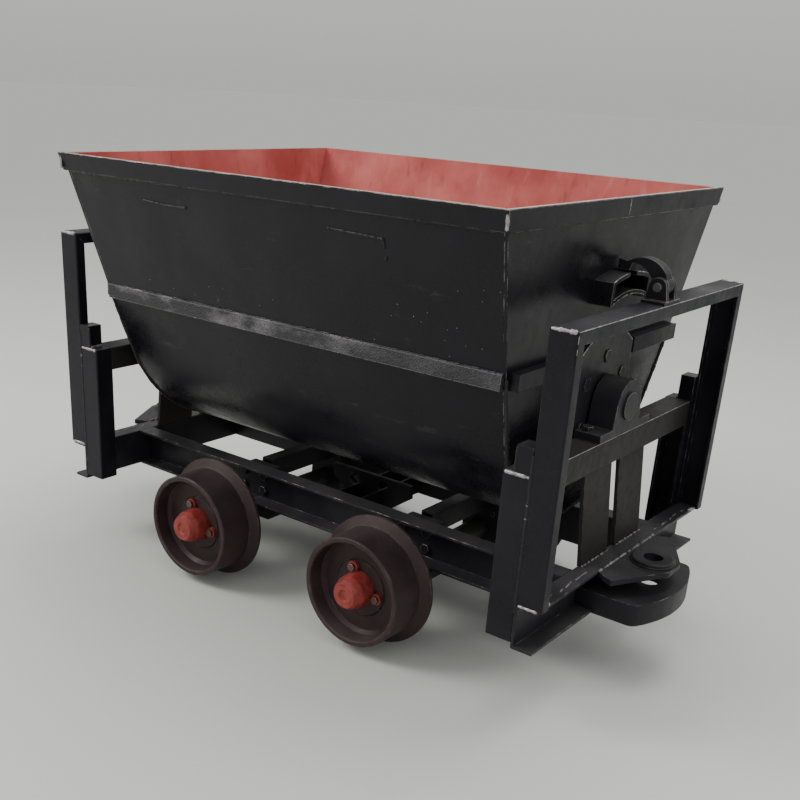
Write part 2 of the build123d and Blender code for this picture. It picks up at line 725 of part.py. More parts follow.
cap_profile = [
    (cap_back_y + cap_flange, cap_radius), (cap_back_y + cap_length * 0.62, cap_radius - 3),
    (cap_back_y + cap_length * 0.86, cap_radius - 9), (cap_front_y, cap_nose_radius), (cap_front_y, 17),
    (cap_front_y - 4, 14), (cap_front_y - 4, 0), (cap_front_y - cap_wall - 4, 0),
    (cap_front_y - cap_wall - 4, cap_nose_radius - 5),
    (cap_back_y + cap_length * 0.62, cap_radius - cap_wall - 3),
    (cap_back_y + cap_flange, cap_radius - cap_wall), (cap_back_y + cap_flange, cap_radius),
]
for end_name, end in ends.items():
    for side_name, side in sides.items():
        x = end * wheel_x
        spin = Axis((x, 0, wheel_z), (0, 1, 0))
        cap_seat = Plane(origin=(x, side * cap_back_y, wheel_z), x_dir=(-side, 0, 0), z_dir=(0, side, 0))
        place = f"{end_name}_{side_name}"
        with BuildPart() as wheel:
            with BuildSketch(Plane.YZ.offset(x)):
                with BuildLine():
                    Polyline(*[(side * y, wheel_z + r) for y, r in wheel_profile])
                make_face()
            revolve(axis=spin)
            with BuildSketch(cap_seat):
                with Locations(*lobe_spots):
                    Circle(cap_bolt / 2)
            extrude(amount=-2 * cap_bolt, mode=Mode.SUBTRACT)
        wheel.part.label = f"wheel_{place}"
        export_step(wheel.part, f"parts/wheel_{place}.step")

        with BuildPart() as hub_cap:
            with BuildSketch(cap_seat):
                Circle(cap_radius)
                with Locations(*lobe_spots):
                    Circle(cap_bolt + 3)
                Circle(cap_radius - cap_wall, mode=Mode.SUBTRACT)
                with Locations(*lobe_spots):
                    Circle(cap_bolt / 2, mode=Mode.SUBTRACT)
            extrude(amount=cap_flange)
            with BuildSketch(Plane.YZ.offset(x)):
                with BuildLine():
                    Polyline(*[(side * y, wheel_z + r) for y, r in cap_profile])
                make_face()
            revolve(axis=spin)
        hub_cap.part.label = f"hub_cap_{place}"
        export_step(hub_cap.part, f"parts/hub_cap_{place}.step")

        with BuildPart() as cap_bolts:
            with BuildSketch(cap_seat.offset(cap_flange)):
                with Locations(*lobe_spots):
                    RegularPolygon(radius=0.79 * cap_bolt, side_count=6, major_radius=False)
            extrude(amount=0.65 * cap_bolt)
            with BuildSketch(cap_seat.offset(cap_flange)):
                with Locations(*lobe_spots):
                    Circle(cap_bolt / 2)
            extrude(amount=-(cap_flange + 1.8 * cap_bolt))
        cap_bolts.part.label = f"cap_bolts_{place}"
        export_step(cap_bolts.part, f"parts/cap_bolts_{place}.step")

# ---- trunnion blocks on the shelves ------------------------------------------------------------------
block_width = frame_half - block_back_x
for end_name, end in ends.items():
    across = end_face(end, block_back_x, axis_height)
    drop = axis_height - shelf_height
    with BuildPart() as trunnion_block:
        with BuildSketch(across):
            Circle(block_hub / 2)
            with BuildLine():
                Polyline((-block_hub / 2, 0), (-block_hub / 2 - 12, -drop), (block_hub / 2 + 12, -drop),
                         (block_hub / 2, 0), (-block_hub / 2, 0))
            make_face()
            with Locations((0, block_foot_height / 2 - drop)):
                Rectangle(block_foot, block_foot_height)
            with Locations((0, -drop - block_hub)):
                Rectangle(2 * block_foot, 2 * block_hub, mode=Mode.SUBTRACT)
            Circle(trunnion_diameter / 2 + running_gap, mode=Mode.SUBTRACT)
        extrude(amount=block_width)
        with BuildSketch(Plane.XY.offset(shelf_height)):
            with GridLocations(0, foot_bolt_pitch, 1, 2):
                with Locations((end * foot_bolt_x, 0)):
                    Circle(foot_bolt / 2)
        extrude(amount=block_foot_height, mode=Mode.SUBTRACT)
    trunnion_block.part.label = f"trunnion_block_{end_name}"
    export_step(trunnion_block.part, f"parts/trunnion_block_{end_name}.step")

with BuildPart() as foot_bolts:
    for end in ends.values():
        for y in (-foot_bolt_pitch / 2, foot_bolt_pitch / 2):
            spot = (end * foot_bolt_x, y)
            with BuildSketch(Plane.XY.offset(shelf_height + block_foot_height)):
                with Locations(spot):
                    RegularPolygon(radius=0.75 * foot_bolt, side_count=6, major_radius=False)
            extrude(amount=0.65 * foot_bolt)
            with BuildSketch(Plane.XY.offset(shelf_height + block_foot_height)):
                with Locations(spot):
                    Circle(foot_bolt / 2)
            extrude(amount=-(block_foot_height + channel_wall))
            with BuildSketch(Plane.XY.offset(shelf_height - channel_wall)):
                with Locations(spot):
                    RegularPolygon(radius=0.75 * foot_bolt, side_count=6, major_radius=False)
            extrude(amount=-0.8 * foot_bolt)
foot_bolts.part.label = "foot_bolts"
export_step(foot_bolts.part, "parts/foot_bolts.step")

# ---- latches on the portal tops ------------------------------------------------------------------------
pivot_x = frame_half + latch_pivot_inset
pivot_z = portal_height + latch_pivot_height
lug_inner_y = hook_width / 2 + lug_gap
with BuildPart() as latch_brackets:
    for end in ends.values():
        with BuildSketch(Plane.XY.offset(portal_height)):
            with Locations((end * pivot_x, 0)):
                Rectangle(60, 2 * (lug_inner_y + lug_thickness + 14))
        extrude(amount=lug_base)
        for side in sides.values():
            near = side * lug_inner_y
            with BuildSketch(Plane(origin=(0, near, 0), x_dir=(side, 0, 0), z_dir=(0, -side, 0))):
                with BuildLine():
                    middle = side * end * pivot_x
                    Polyline((middle - 22, pivot_z), (middle - 27, portal_height + lug_base),
                             (middle + 27, portal_height + lug_base), (middle + 22, pivot_z))
                    ThreePointArc((middle + 22, pivot_z), (middle, pivot_z + 22), (middle - 22, pivot_z))
                make_face()
                with Locations((middle, pivot_z)):
                    Circle(latch_pin / 2, mode=Mode.SUBTRACT)
            extrude(amount=-lug_thickness)
latch_brackets.part.label = "latch_brackets"
export_step(latch_brackets.part, "parts/latch_brackets.step")

with BuildPart() as latch_pins:
    for end in ends.values():
        length = 2 * (lug_inner_y + lug_thickness + 5)
        with BuildSketch(Plane(origin=(end * pivot_x, -length / 2, pivot_z),
                               x_dir=(1, 0, 0), z_dir=(0, 1, 0))):
            Circle(latch_pin / 2)
        extrude(amount=length)
latch_pins.part.label = "latch_pins"
export_step(latch_pins.part, "parts/latch_pins.step")

nose_z = axis_height + keeper_radius + nose_clearance
nose_x = keeper_front_x - keeper_reach * 0.62
crown_z = pivot_z + 62.0
for end_name, end in ends.items():
    with BuildPart() as latch_hook:
        with BuildSketch(Plane.XZ.offset(-hook_width / 2)):
            with BuildLine():
                Polyline((end * (pivot_x + 18), pivot_z + 6), (end * (pivot_x + 10), pivot_z + 30))
                ThreePointArc((end * (pivot_x + 10), pivot_z + 30), (end * (pivot_x - 34), crown_z - 3),
                              (end * (nose_x + 10), crown_z - 14))
                Polyline((end * (nose_x + 10), crown_z - 14), (end * (nose_x - 14), nose_z + 26),
                         (end * (nose_x - 14), nose_z), (end * (nose_x + 16), nose_z),
                         (end * (nose_x + 22), nose_z + 18))
                ThreePointArc((end * (nose_x + 22), nose_z + 18), (end * (pivot_x - 38), pivot_z + 32),
                              (end * (pivot_x - 18), pivot_z))
                Line((end * (pivot_x - 18), pivot_z), (end * (pivot_x + 18), pivot_z + 6))
            make_face()
            with Locations((end * pivot_x, pivot_z)):
                Circle(22)
                Circle(latch_pin / 2 + running_gap, mode=Mode.SUBTRACT)
        extrude(amount=hook_width)
    latch_hook.part.label = f"latch_hook_{end_name}"
    export_step(latch_hook.part, f"parts/latch_hook_{end_name}.step")
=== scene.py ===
# %% [markdown]
# # A side-tipping mine cart
# The cart's steelwork comes from a CAD model that is already the right size. Everything made here is put
# around it in the same metres: finishes for the steel, weld beads, stitches and scars, light and a camera.
# X runs along the track with +X at the front, Y runs across it and Z is up.

# %% Load the cart's steelwork
import bpy
import json
import math
import random
from mathutils import Matrix, Vector


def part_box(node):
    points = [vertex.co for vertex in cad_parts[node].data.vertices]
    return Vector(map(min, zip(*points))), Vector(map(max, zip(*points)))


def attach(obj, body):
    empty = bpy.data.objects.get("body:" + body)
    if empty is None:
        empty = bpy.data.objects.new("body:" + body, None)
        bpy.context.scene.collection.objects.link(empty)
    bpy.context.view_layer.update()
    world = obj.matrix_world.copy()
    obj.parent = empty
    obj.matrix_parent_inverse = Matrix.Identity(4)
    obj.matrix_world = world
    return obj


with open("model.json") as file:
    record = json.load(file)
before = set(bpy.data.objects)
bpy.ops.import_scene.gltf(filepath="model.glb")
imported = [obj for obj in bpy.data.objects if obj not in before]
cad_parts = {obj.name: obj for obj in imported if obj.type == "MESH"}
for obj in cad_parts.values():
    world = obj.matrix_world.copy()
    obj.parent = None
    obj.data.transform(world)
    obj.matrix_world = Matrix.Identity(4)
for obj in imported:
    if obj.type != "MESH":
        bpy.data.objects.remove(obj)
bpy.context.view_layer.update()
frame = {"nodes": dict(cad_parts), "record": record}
ENDS = {"front": 1, "rear": -1}
SIDES = {"right": -1, "left": 1}

# %% [markdown]
# ## The view
# A product view of a long, low cart works from standing height at one corner, so that the long side, the end
# with its portal and a little of the inside all show. The camera's own axes are written as a matrix: its
# right, its up and its back. A small lens shift frames the cart without tilting the upright posts.

# %% Set the camera at the front right corner
turn, rise, lean = math.radians(37.7), math.radians(22.9), math.radians(3.1)
back = Vector((math.sin(turn) * math.cos(rise), -math.cos(turn) * math.cos(rise), math.sin(rise)))
level = Vector((math.cos(turn), math.sin(turn), 0))
upward = back.cross(level)
cam_right = math.cos(lean) * level + math.sin(lean) * upward
cam_up = math.cos(lean) * upward - math.sin(lean) * level
lens = bpy.data.cameras.new("yard_camera")
lens.sensor_width, lens.lens = 36.0, 47.05
lens.shift_x, lens.shift_y = 0.0573, 0.1563
camera = bpy.data.objects.new("yard_camera", lens)
camera.matrix_world = Matrix((cam_right, cam_up, back)).transposed().to_4x4()
camera.location = (1.762, -2.360, 1.372)
bpy.context.scene.collection.objects.link(camera)
bpy.context.scene.camera = camera
print("camera at", [round(c, 2) for c in camera.location])

# %% [markdown]
# ## Light
# Black gloss paint has almost no colour of its own: what shows is what it mirrors. Three large soft panels
# and a pale surround give it long calm reflections. The key panel stands to the left, in front and above, so
# the long side and the tops of the channels catch it, and the end plate falls into half shade. The surround
# is about as bright as the floor at the horizon, so hardly any line shows, and brighter overhead.

# %% Set the soft panels and the pale surround
ZENITH = (0.86, 0.87, 0.85)
HORIZON = [tone * 0.60 for tone in ZENITH]
FLOOR_TONES = (0.59, 0.60, 0.57), (0.62, 0.63, 0.60)


def soft_panel(name, place, size, watts, tint=(1, 1, 1)):
    """A square area light that faces the middle of the cart."""
    light = bpy.data.lights.new(name, "AREA")
    light.shape, light.size, light.energy, light.color = "SQUARE", size, watts, tint
    panel = bpy.data.objects.new(name, light)
    panel.location = place
    panel.rotation_euler = (Vector((0, 0, 0.6)) - Vector(place)).to_track_quat("-Z", "Y").to_euler()
    bpy.context.scene.collection.objects.link(panel)


soft_panel("key_panel", (-3.4, -3.2, 4.0), 2.2, 190, (1.0, 0.98, 0.96))
soft_panel("fill_panel", (4.8, -1.6, 2.6), 2.6, 10, (0.92, 0.96, 1.0))
soft_panel("top_panel", (0.6, 1.2, 4.6), 3.0, 110, (0.99, 1.0, 0.98))

surround = bpy.data.worlds.new("pale_surround")
surround.use_nodes = True
sky = surround.node_tree
height = sky.nodes.new("ShaderNodeSeparateXYZ")
sky.links.new(sky.nodes.new("ShaderNodeTexCoord").outputs["Generated"], height.inputs[0])
fade = sky.nodes.new("ShaderNodeValToRGB")
fade.color_ramp.elements[0].color = (*HORIZON, 1)
fade.color_ramp.elements[1].position, fade.color_ramp.elements[1].color = 0.35, (*ZENITH, 1)
sky.links.new(height.outputs["Z"], fade.inputs["Fac"])
sky.links.new(fade.outputs["Color"], sky.nodes["Background"].inputs["Color"])
bpy.context.scene.world = surround


# %% [markdown]
# ## Small helpers for finishes
# Each finish is a little network of nodes. These helpers keep the networks short to read: one makes a node,
# one makes cloudy noise fixed to the piece, one stretches a value between two limits and one mixes colours.
# The noise uses the piece's own coordinates, so the paint stays put when the bucket tips.

# %% Node helpers
def make(tree, kind, inputs=None, **settings):
    """Add a node, set its properties, then its input values or links by name."""
    node = tree.nodes.new("ShaderNode" + kind)
    for key, value in settings.items():
        setattr(node, key, value)
    for key, value in (inputs or {}).items():
        if isinstance(value, bpy.types.NodeSocket):
            tree.links.new(value, node.inputs[key])
        else:
            node.inputs[key].default_value = value
    return node


def cloud(tree, scale, detail=4.0, stretch=(1, 1, 1), rough=0.55):
    """Noise fixed to the piece, scale counted per metre."""
    spot = make(tree, "TexCoord").outputs["Object"]
    laid = make(tree, "Mapping", {"Vector": spot, "Scale": stretch}).outputs["Vector"]
    noise = make(tree, "TexNoise", {"Vector": laid, "Scale": scale, "Detail": detail, "Roughness": rough})
    return noise.outputs["Fac"]


def between(tree, value, low, high, out_low=0.0, out_high=1.0):
    """Map low..high of a value to out_low..out_high, and no further."""
    return make(tree, "MapRange", {"Value": value, "From Min": low, "From Max": high,
                                   "To Min": out_low, "To Max": out_high}).outputs["Result"]


def sums(tree, how, first, second):
    """One arithmetic step between two values."""
    return make(tree, "Math", {0: first, 1: second}, operation=how).outputs["Value"]


def tint(tree, share, first, second):
    """Mix two colours, or a colour and a network, by a share from 0 to 1."""
    node = make(tree, "Mix", data_type="RGBA")
    for socket, value in ((node.inputs[0], share), (node.inputs[6], first), (node.inputs[7], second)):
        if isinstance(value, bpy.types.NodeSocket):
            tree.links.new(value, socket)
        else:
            socket.default_value = value if isinstance(value, float) else (*value, 1.0)
    return node.outputs[2]


def rounded(tree, radius=0.003):
    """A normal that softens sharp edges, and how much it differs from the flat one there."""
    soft = make(tree, "Bevel", {"Radius": radius}, samples=4).outputs["Normal"]
    flat = make(tree, "NewGeometry").outputs["Normal"]
    match = make(tree, "VectorMath", {0: soft, 1: flat}, operation="DOT_PRODUCT").outputs["Value"]
    return soft, between(tree, match, 0.995, 0.80)


def new_finish(name, shine=0.5):
    """An empty material with only its output and its main shader."""
    finish = bpy.data.materials.new(name)
    finish.use_nodes = True
    tree = finish.node_tree
    tree.nodes.clear()
    shader = make(tree, "BsdfPrincipled", {"Specular IOR Level": shine})
    out = make(tree, "OutputMaterial")
    tree.links.new(shader.outputs["BSDF"], out.inputs["Surface"])
    return finish, tree, shader


def dress(tree, shader, colour, rough, normal, metal=None):
    """Plug a colour, a roughness, a normal and a metal share into the main shader."""
    tree.links.new(colour, shader.inputs["Base Color"])
    tree.links.new(rough, shader.inputs["Roughness"])
    tree.links.new(normal, shader.inputs["Normal"])
    if metal is not None:
        tree.links.new(metal, shader.inputs["Metallic"])


print("helpers ready")

# %% [markdown]
# ## Black enamel
# Nearly every piece is welded mild steel, sprayed with black enamel. Up close it has soft cloudy patches of
# more and less gloss, faint brush and spray ripples, fine grit caught in the paint, grey dust on what faces
# up, and a thin bare line where edges have been knocked. One function builds it, and the sizes of those
# effects are its arguments, so a plate, a casting and a channel can differ.

# %% Build the black enamels
DUST = (0.085, 0.080, 0.080)
BARE = (0.42, 0.38, 0.36)


def black_enamel(name, colour=(0.0062, 0.0056, 0.0085), gloss=(0.24, 0.46), dust=0.3, rub=0.6, lumps=0.25,
                 grit=0.12, knock=(0.50, 0.62), shine=0.20):
    finish, tree, shader = new_finish(name, shine)
    patches = cloud(tree, 5.5, 4.0)
    ripples = cloud(tree, 48.0, 5.0)
    grains = cloud(tree, 520.0, 2.0)
    soft, edge = rounded(tree)
    facing = make(tree, "SeparateXYZ", {0: make(tree, "TexCoord").outputs["Normal"]}).outputs["Z"]
    upward_share = between(tree, facing, 0.3, 0.95)
    laid = sums(tree, "MULTIPLY", upward_share, between(tree, patches, 0.35, 0.7, 0.25, 1.0))
    laid = sums(tree, "MULTIPLY", laid, dust)
    knocks = between(tree, cloud(tree, 30.0, 5.0, rough=0.7), *knock)
    worn = sums(tree, "MULTIPLY", sums(tree, "MULTIPLY", edge, knocks), rub)
    paler = [channel * 2.3 + 0.004 for channel in colour]
    base = tint(tree, between(tree, patches, 0.4, 0.75, 0.0, 0.6), colour, paler)
    base = tint(tree, between(tree, grains, 0.62, 0.75, 0.0, 0.35), base, DUST)
    base = tint(tree, laid, base, DUST)
    base = tint(tree, worn, base, BARE)
    rough = between(tree, patches, 0.35, 0.7, *gloss)
    rough = sums(tree, "ADD", rough, between(tree, ripples, 0.4, 0.7, 0.0, 0.10))
    rough = sums(tree, "ADD", rough, sums(tree, "MULTIPLY", laid, 0.45))
    height = sums(tree, "ADD", sums(tree, "MULTIPLY", ripples, lumps), sums(tree, "MULTIPLY", grains, grit))
    bump = make(tree, "Bump", {"Strength": 0.35, "Distance": 0.002, "Height": height, "Normal": soft})
    dress(tree, shader, base, rough, bump.outputs["Normal"], sums(tree, "MULTIPLY", worn, 0.7))
    return finish


finishes = {
    "rim_enamel": black_enamel("band_enamel", dust=0.2, rub=0.9, knock=(0.42, 0.55)),
    "end_rib_enamel": black_enamel("end_bar_enamel", dust=0.1, rub=0.3),
    "trunnion_enamel": black_enamel(
        "trunnion_casting", (0.010, 0.009, 0.012), (0.3, 0.5), 0.3, 0.9, 0.7, 0.3, (0.38, 0.52), 0.3),
    "keeper_enamel": black_enamel("keeper_enamel", rub=1.0, knock=(0.34, 0.48), shine=0.35),
    "bolt_steel": black_enamel(
        "painted_bolts", (0.012, 0.011, 0.014), (0.3, 0.5), 0.2, 1.0, knock=(0.40, 0.52)),
    "wheel_enamel": black_enamel(
        "wheel_casting", (0.030, 0.017, 0.018), (0.34, 0.55), 0.3, 0.6, 0.9, 0.45),
    "portal_enamel": black_enamel(
        "portal_enamel", (0.0070, 0.0063, 0.0100), (0.26, 0.5), 0.4, 0.5, 0.5, 0.2),
    "shelf_enamel": black_enamel(
        "dusty_shelf_enamel", (0.0155, 0.0135, 0.0125), (0.42, 0.66), 0.4, 0.35, 0.4, 0.4),
    "beam_enamel": black_enamel(
        "beam_enamel", (0.016, 0.0145, 0.0185), (0.28, 0.52), 0.45, 0.9, 0.6, 0.25),
    "underframe_enamel": black_enamel(
        "underframe_enamel", (0.010, 0.010, 0.011), (0.42, 0.65), 0.4, 0.4, 0.6, 0.4),
    "coupling_enamel": black_enamel(
        "coupling_enamel", (0.0095, 0.009, 0.012), (0.30, 0.5), 0.35, 0.9, 0.6, 0.3),
    "block_enamel": black_enamel(
        "bearing_block_casting", (0.010, 0.009, 0.012), (0.34, 0.55), 0.3, 0.9, 1.0, 0.4, (0.40, 0.54), 0.3),
    "latch_enamel": black_enamel(
        "latch_enamel", (0.011, 0.010, 0.013), (0.28, 0.5), 0.35, 1.0, knock=(0.36, 0.5)),
    "axle_steel": black_enamel(
        "axle_enamel", (0.012, 0.012, 0.012), (0.34, 0.55), 0.35, 0.6, 0.3, 0.3),
}
print("black enamels:", len(finishes))

# %% [markdown]
# ## The bucket's two coats
# The bucket is black outside and red oxide primer inside, on one and the same sheet. The finish asks, at each
# point, whether the surface looks towards the middle of the bucket: if it does, it is the inside. The very
# top edge of the sheet is rubbed bare and pale. The primer has sun-bleached patches, run marks that follow
# the slope and darker scrapes where rock has slid.

# %% Build the bucket's finish
MIDDLE = Vector((0, 0, 0.80))
RIM_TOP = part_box("rim_band")[1].z
OXIDE, OXIDE_PALE, OXIDE_DARK = (0.35, 0.062, 0.054), (0.55, 0.155, 0.140), (0.15, 0.026, 0.024)
OXIDE_BLEACHED = (0.60, 0.23, 0.20)
SHEET_BLACK, SHEET_BLACK_PALE = (0.0055, 0.0050, 0.0078), (0.0120, 0.0108, 0.0160)
TOP_EDGE = (0.62, 0.50, 0.42)


def two_coats(name):
    finish, tree, shader = new_finish(name, 0.20)
    spot = make(tree, "TexCoord")
    from_middle = make(tree, "VectorMath", {0: spot.outputs["Object"], 1: MIDDLE}, operation="SUBTRACT")
    outward = make(tree, "VectorMath", {0: from_middle.outputs["Vector"], 1: spot.outputs["Normal"]},
                   operation="DOT_PRODUCT")
    inside = between(tree, outward.outputs["Value"], 0.0, -0.01)
    facing = make(tree, "SeparateXYZ", {0: spot.outputs["Normal"]}).outputs["Z"]
    patches = cloud(tree, 4.0, 4.0)
    slides = cloud(tree, 22.0, 6.0, (1, 1, 0.16), 0.65)
    ripples = cloud(tree, 40.0, 5.0)
    grains = cloud(tree, 480.0, 2.0)
    warps = cloud(tree, 3.2, 1.5)
    soft, edge = rounded(tree)
    primer = tint(tree, between(tree, patches, 0.38, 0.68), OXIDE, OXIDE_PALE)
    primer = tint(tree, between(tree, slides, 0.56, 0.70, 0.0, 0.55), primer, OXIDE_DARK)
    primer = tint(tree, between(tree, slides, 0.42, 0.30, 0.0, 0.35), primer, OXIDE_BLEACHED)
    black = tint(tree, between(tree, patches, 0.4, 0.75, 0.0, 0.55), SHEET_BLACK, SHEET_BLACK_PALE)
    black = tint(tree, between(tree, grains, 0.64, 0.76, 0.0, 0.3), black, DUST)
    scuffs = between(tree, cloud(tree, 9.0, 6.0, (1, 1, 3), 0.7), 0.62, 0.72, 0.0, 0.16)
    black = tint(tree, scuffs, black, (0.13, 0.12, 0.13))
    knocks = between(tree, cloud(tree, 26.0, 5.0, rough=0.7), 0.48, 0.60)
    worn = sums(tree, "MULTIPLY", sums(tree, "MULTIPLY", edge, knocks), 0.8)
    black = tint(tree, worn, black, BARE)
    base = tint(tree, inside, black, primer)
    high = make(tree, "SeparateXYZ", {0: spot.outputs["Object"]}).outputs["Z"]
    at_rim = between(tree, high, RIM_TOP - 0.02, RIM_TOP - 0.01)
    top = sums(tree, "MULTIPLY", between(tree, facing, 0.90, 0.97), at_rim)
    rubbed = sums(tree, "MULTIPLY", top, between(tree, ripples, 0.3, 0.5, 0.55, 1.0))
    base = tint(tree, rubbed, base, TOP_EDGE)
    enamel_rough = between(tree, patches, 0.35, 0.7, 0.20, 0.40)
    enamel_rough = sums(tree, "ADD", enamel_rough, between(tree, ripples, 0.4, 0.7, 0.0, 0.08))
    primer_rough = between(tree, patches, 0.3, 0.7, 0.55, 0.78)
    share = make(tree, "Mix", {0: inside, 2: enamel_rough, 3: primer_rough}).outputs[0]
    height = sums(tree, "ADD", sums(tree, "MULTIPLY", ripples, 0.22), sums(tree, "MULTIPLY", grains, 0.10))
    fine = make(tree, "Bump", {"Strength": 0.30, "Distance": 0.002, "Height": height, "Normal": soft})
    sheet = make(tree, "Bump", {"Strength": 0.5, "Distance": 0.026, "Height": warps,
                                "Normal": fine.outputs["Normal"]})
    dress(tree, shader, base, share, sheet.outputs["Normal"])
    return finish


finishes["bucket_enamel"] = two_coats("bucket_two_coats")
print("inside turns red within the bucket, rim top at", round(RIM_TOP, 3))

# %% [markdown]
# ## Bars, primer caps and bare steel
# The bar along the knee was welded and slag-spattered before it was sprayed, so it is rough, with silvery
# patches where the spray missed. The hub caps are the same red oxide as the inside. Bolts, pins and bearings
# are plain steel with a slight turned grain.

# %% Build the remaining finishes
def spattered_bar(name):
    finish, tree, shader = new_finish(name)
    clumps = cloud(tree, 14.0, 5.0, (0.5, 1, 1), 0.6)
    spatter = cloud(tree, 190.0, 4.0, rough=0.7)
    pits = make(tree, "TexVoronoi", {"Vector": make(tree, "TexCoord").outputs["Object"], "Scale": 240.0})
    soft, edge = rounded(tree, 0.004)
    facing = make(tree, "SeparateXYZ", {0: make(tree, "TexCoord").outputs["Normal"]}).outputs["Z"]
    missed = between(tree, clumps, 0.46, 0.60)
    missed = sums(tree, "MULTIPLY", missed, between(tree, spatter, 0.36, 0.56, 0.25, 1.0))
    along = make(tree, "SeparateXYZ", {0: make(tree, "TexCoord").outputs["Object"]}).outputs["X"]
    missed = sums(tree, "MULTIPLY", missed, between(tree, along, 0.40, 0.05, 0.22, 1.0))
    upper = between(tree, facing, -0.1, 0.5, 0.35, 1.0)
    missed = sums(tree, "MULTIPLY", missed, upper)
    missed = sums(tree, "MAXIMUM", missed, sums(tree, "MULTIPLY", edge, 0.75))
    base = tint(tree, between(tree, spatter, 0.40, 0.65), (0.008, 0.0075, 0.0095), (0.032, 0.030, 0.034))
    base = tint(tree, missed, base, (0.36, 0.34, 0.37))
    rough = between(tree, spatter, 0.3, 0.7, 0.38, 0.75)
    height = sums(tree, "ADD", spatter, sums(tree, "MULTIPLY", pits.outputs["Distance"], 0.8))
    bump = make(tree, "Bump", {"Strength": 0.8, "Distance": 0.004, "Height": height, "Normal": soft})
    dress(tree, shader, base, rough, bump.outputs["Normal"], sums(tree, "MULTIPLY", missed, 0.35))
    return finish


def red_oxide(name):
    finish, tree, shader = new_finish(name, 0.3)
    patches = cloud(tree, 38.0, 4.0)
    grains = cloud(tree, 700.0, 3.0)
    soft, edge = rounded(tree, 0.002)
    base = tint(tree, between(tree, patches, 0.4, 0.65), (0.20, 0.026, 0.021), (0.30, 0.052, 0.043))
    scrapes = between(tree, cloud(tree, 120.0, 5.0, rough=0.7), 0.60, 0.70, 0.0, 0.5)
    base = tint(tree, scrapes, base, (0.030, 0.022, 0.020))
    base = tint(tree, sums(tree, "MULTIPLY", edge, 0.4), base, (0.52, 0.17, 0.14))
    rough = between(tree, patches, 0.35, 0.7, 0.34, 0.58)
    bump = make(tree, "Bump", {"Strength": 0.35, "Distance": 0.001, "Height": grains, "Normal": soft})
    dress(tree, shader, base, rough, bump.outputs["Normal"])
    return finish


def bare_steel(name, colour, gloss, stain=0.5):
    finish, tree, shader = new_finish(name)
    grain = cloud(tree, 260.0, 4.0, (1, 0.2, 1))
    stains = cloud(tree, 60.0, 5.0, rough=0.65)
    soft, edge = rounded(tree, 0.0015)
    base = tint(tree, between(tree, stains, 0.45, 0.68, 0.0, stain), colour, (0.07, 0.048, 0.036))
    base = tint(tree, sums(tree, "MULTIPLY", edge, 0.5), base, (0.62, 0.60, 0.58))
    rough = between(tree, stains, 0.35, 0.7, *gloss)
    rough = sums(tree, "ADD", rough, between(tree, grain, 0.4, 0.6, 0.0, 0.08))
    bump = make(tree, "Bump", {"Strength": 0.25, "Distance": 0.0006, "Height": grain, "Normal": soft})
    dress(tree, shader, base, rough, bump.outputs["Normal"], between(tree, stains, 0.45, 0.68, 0.9, 0.45))
    return finish


finishes["rib_metal"] = spattered_bar("spattered_bar")
finishes["cap_oxide"] = red_oxide("hub_cap_oxide")
finishes["cap_bolt_steel"] = bare_steel("cap_bolts_steel", (0.16, 0.10, 0.085), (0.35, 0.55), 0.7)
finishes["pin_steel"] = bare_steel("latch_pin_steel", (0.20, 0.20, 0.21), (0.3, 0.5))
finishes["bearing_steel"] = bare_steel("bearing_ring_steel", (0.50, 0.50, 0.51), (0.2, 0.35), 0.2)
print("finishes:", len(finishes))

# %% [markdown]
# ## Dress the CAD pieces
# The record says which slot each steel piece takes its finish from, so one loop dresses them all. Nothing is
# moved and no mesh is changed.

# %% Give every steel piece its finish
slot_of = {part["node"]: part["material_slot"] for part in frame["record"]["subparts"]}
for name, piece in frame["nodes"].items():
    for holder in piece.material_slots:
        holder.material = finishes[slot_of[name]]
print("dressed", len(slot_of), "steel pieces")

# %% [markdown]
# ## Weld beads
# The cart is stick-welded, and the beads are lumpy: a row of small overlapping scales, never quite straight
# or even. A bead is made as a tube swept along its line, half sunk in the joint. Its radius swells and falls
# with each scale, and a seeded random draw makes every scale a little different and the same each run.

# %% Build one bead mesh from runs of points
bead_draw = random.Random(7)
BEAD_STEP = 0.0032
SCALE_LENGTH = 0.0085


def walk(points, step=BEAD_STEP):
    """Points at even steps along a run of straight pieces."""
    out = []
    for first, last in zip(points, points[1:]):
        first, last = Vector(first), Vector(last)
        count = max(1, round((last - first).length / step))
        out += [first.lerp(last, index / count) for index in range(count)]
    return out + [Vector(points[-1])]


